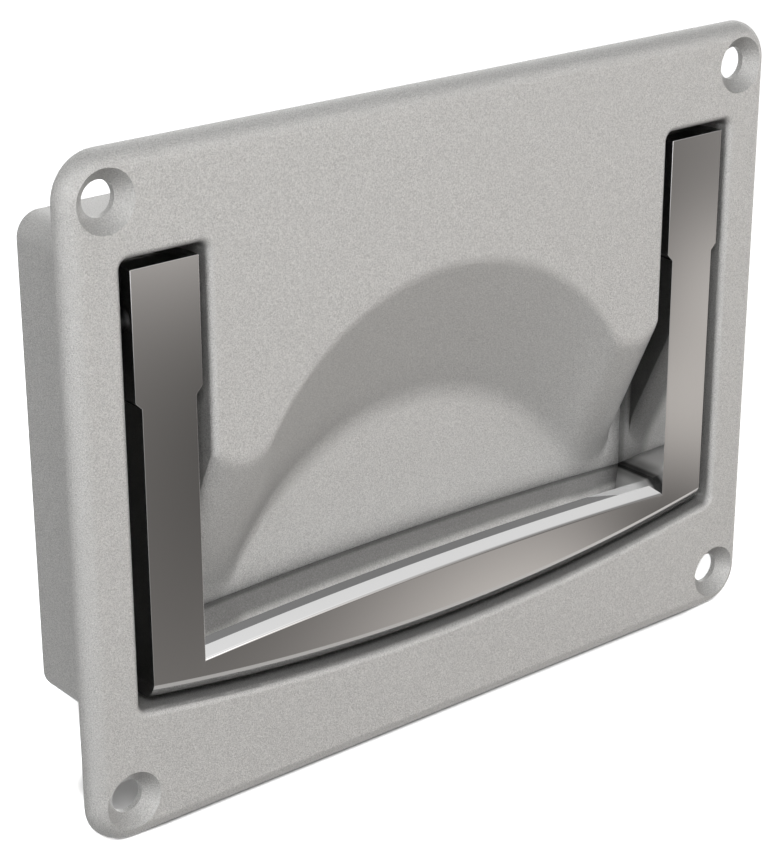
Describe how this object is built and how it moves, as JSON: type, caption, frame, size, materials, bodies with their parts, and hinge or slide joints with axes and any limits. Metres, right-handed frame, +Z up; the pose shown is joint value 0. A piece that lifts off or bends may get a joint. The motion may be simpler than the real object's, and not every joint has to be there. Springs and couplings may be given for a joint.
{
  "type": "recessed bail pull handle",
  "caption": "Recessed pull: a cast housing with a screwed flange and a raked finger scoop, and a chrome bail on pins that folds flush into it.",
  "frame": {"origin": "centre of the screw pattern on the mounting plane, which is the back of the flange", "axes": "+X along the flange's long side, +Y into the panel, +Z up towards the pivots"},
  "size_m": [0.143, 0.0263, 0.11],
  "materials": {
    "painted_casting": "fine textured silver-grey paint",
    "chrome": "polished chrome plate",
    "pin_steel": "plain ground steel"
  },
  "bodies": {
    "housing_body": {"housing": "painted_casting", "left_pin": "pin_steel", "right_pin": "pin_steel"},
    "bail": {"bail_handle": "chrome"}
  },
  "joints": [
    {"name": "bail_pivot", "type": "hinge", "parent": "housing_body", "child": "bail", "pos_m": [0, 0.0022, 0.028], "axis": [-1, 0, 0], "range_deg": [0, 90]}
  ]
}
